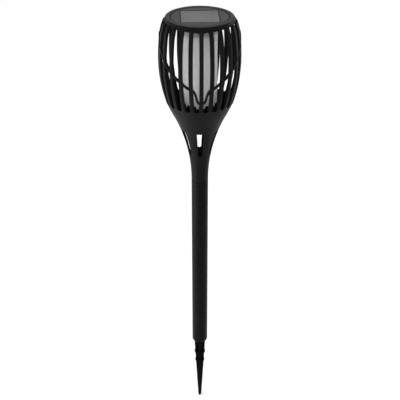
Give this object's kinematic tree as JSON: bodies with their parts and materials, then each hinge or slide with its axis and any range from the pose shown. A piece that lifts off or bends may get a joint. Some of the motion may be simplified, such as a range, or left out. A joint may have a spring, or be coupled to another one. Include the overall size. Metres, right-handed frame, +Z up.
{
  "type": "solar garden torch",
  "caption": "Black solar garden torch: ribbed basket head with a square cell in its lid, frosted diffuser, slotted funnel, plain pole and barbed ground stake.",
  "frame": {"origin": "centre of the bounding box at the tip of the ground stake", "axes": "+Z up along the pole, -Y the front, where the flame outline dips, +X to the right seen from the front"},
  "size_m": [0.12, 0.12, 0.7158],
  "materials": {
    "cage_plastic": "satin moulded",
    "funnel_plastic": "satin moulded",
    "pole_plastic": "satin extruded",
    "stake_plastic": "moulded, slightly glossy",
    "lid_plastic": "fine texture",
    "housing_plastic": "moulded",
    "silicon": "dark cell",
    "laminate": "clear resin",
    "carrier": "fibre board",
    "diffuser_plastic": "frosted white",
    "seal_rubber": "moulded",
    "button_rubber": "matt",
    "board": "solder mask",
    "chip": "moulded",
    "contact_metal": "nickel plated",
    "screw_steel": "zinc plated",
    "core_plastic": "white moulded",
    "strip": "white film",
    "led": "phosphor",
    "battery_sleeve": "shrink film",
    "wire_cover": "insulation"
  },
  "bodies": {
    "stake": {"ground_stake": "stake_plastic"},
    "lower_pole": {"pole_lower": "pole_plastic"},
    "upper_pole": {"pole_upper": "pole_plastic"},
    "head": {"funnel": "funnel_plastic", "cage_ring": "cage_plastic", "cage_ribs": "cage_plastic", "flame_outline": "cage_plastic"},
    "seal": {"lid_seal": "seal_rubber"},
    "lamp": {"lid": "lid_plastic", "cell_carrier": "carrier", "solar_cell": "silicon", "cell_laminate": "laminate", "lamp_housing": "housing_plastic", "housing_screws": "screw_steel", "circuit_board": "board", "board_chips": "chip", "switch_body": "chip", "diffuser": "diffuser_plastic", "diffuser_base": "housing_plastic", "led_core": "core_plastic", "led_strip": "strip", "leds": "led", "battery": "battery_sleeve", "battery_contact": "contact_metal", "battery_spring": "contact_metal", "cell_leads": "wire_cover", "battery_leads": "wire_cover", "led_leads": "wire_cover"},
    "button": {"switch_button": "button_rubber"}
  },
  "joints": [
    {"name": "pole_lower_lift", "type": "slide", "parent": "stake", "child": "lower_pole", "axis": [0, 0, 1], "range_m": [0, 0.04]},
    {"name": "pole_upper_lift", "type": "slide", "parent": "lower_pole", "child": "upper_pole", "axis": [0, 0, 1], "range_m": [0, 0.038]},
    {"name": "head_lift", "type": "slide", "parent": "upper_pole", "child": "head", "axis": [0, 0, 1], "range_m": [0, 0.038]},
    {"name": "lamp_lift", "type": "slide", "parent": "head", "child": "seal", "axis": [0, 0, 1], "range_m": [0, 0.14]},
    {"name": "lamp_twist", "type": "hinge", "parent": "seal", "child": "lamp", "pos_m": [0, 0, 0.711], "axis": [0, 0, 1], "range_deg": [0, 18]},
    {"name": "switch_press", "type": "slide", "parent": "lamp", "child": "button", "axis": [0, 0, 1], "range_m": [0, 0.001], "stiffness_N_per_m": 900}
  ]
}
